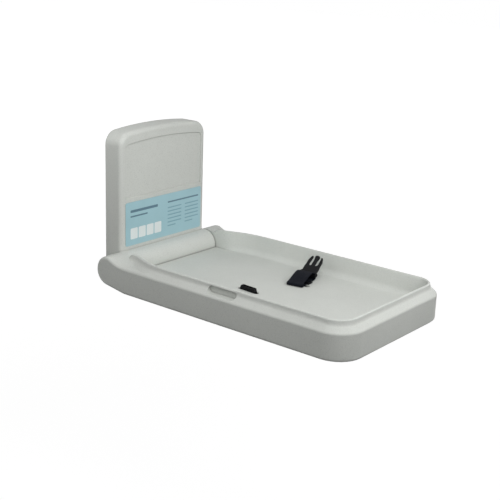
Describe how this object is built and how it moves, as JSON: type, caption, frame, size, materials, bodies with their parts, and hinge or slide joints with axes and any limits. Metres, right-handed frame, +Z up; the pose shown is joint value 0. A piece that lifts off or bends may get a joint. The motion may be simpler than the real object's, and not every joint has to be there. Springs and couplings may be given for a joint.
{
  "type": "baby changing station",
  "caption": "Wall-hung vertical changing station: moulded rimmed tray with safety strap and buckle that folds down from a narrow arched wall unit on a barrel hinge.",
  "frame": {"origin": "on the wall plane, at mid-width, at the height of the hinge axis", "axes": "+X to the right seen from the front, +Y into the wall, +Z up; the open tray reaches out along -Y"},
  "size_m": [0.505, 0.918, 0.461],
  "materials": {
    "moulded_shell": "speckled moulded",
    "face_panel": "satin",
    "webbing": "woven",
    "black_plastic": "satin",
    "rubber_pad": "matte",
    "bearing_plastic": "satin",
    "dark_fastener": "satin",
    "plain_steel": "brushed"
  },
  "bodies": {
    "wall_unit": {"bracket_bolt_left_1": "dark_fastener", "bracket_bolt_left_2": "dark_fastener", "bracket_bolt_right_1": "dark_fastener", "bracket_bolt_right_2": "dark_fastener", "damper_body_left": "dark_fastener", "damper_body_right": "dark_fastener", "hinge_bracket_left": "plain_steel", "hinge_bracket_right": "plain_steel", "hinge_bush_left": "bearing_plastic", "hinge_bush_right": "bearing_plastic", "housing_screw_left": "dark_fastener", "housing_screw_right": "dark_fastener", "info_panel": "face_panel", "stop_block_left": "dark_fastener", "stop_block_right": "dark_fastener", "stop_pad_left": "rubber_pad", "stop_pad_right": "rubber_pad", "wall_housing": "moulded_shell", "wall_plate": "plain_steel"},
    "tray": {"buckle_socket": "black_plastic", "buckle_tongue": "black_plastic", "cover_screw_1": "dark_fastener", "cover_screw_2": "dark_fastener", "cover_screw_3": "dark_fastener", "cover_screw_4": "dark_fastener", "cover_screw_5": "dark_fastener", "cover_screw_6": "dark_fastener", "cover_screw_7": "dark_fastener", "cover_screw_8": "dark_fastener", "damper_rotor_left": "bearing_plastic", "damper_rotor_right": "bearing_plastic", "frame_arm_left": "plain_steel", "frame_arm_right": "plain_steel", "frame_bolt_front_left": "dark_fastener", "frame_bolt_front_right": "dark_fastener", "frame_bolt_rear_left": "dark_fastener", "frame_bolt_rear_right": "dark_fastener", "frame_cross_front": "plain_steel", "frame_cross_rear": "plain_steel", "hinge_pin_left": "plain_steel", "hinge_pin_right": "plain_steel", "pin_nut_left": "dark_fastener", "pin_nut_right": "dark_fastener", "stop_arm_left": "dark_fastener", "stop_arm_right": "dark_fastener", "strap_anchor_left": "plain_steel", "strap_anchor_right": "plain_steel", "strap_left": "webbing", "strap_right": "webbing", "strap_slider": "black_plastic", "tray_body": "moulded_shell", "underside_cover": "moulded_shell"}
  },
  "joints": [
    {"name": "tray_fold", "type": "hinge", "parent": "wall_unit", "child": "tray", "pos_m": [0, -0.075, 0], "axis": [-1, 0, 0], "range_deg": [0, 90]}
  ]
}
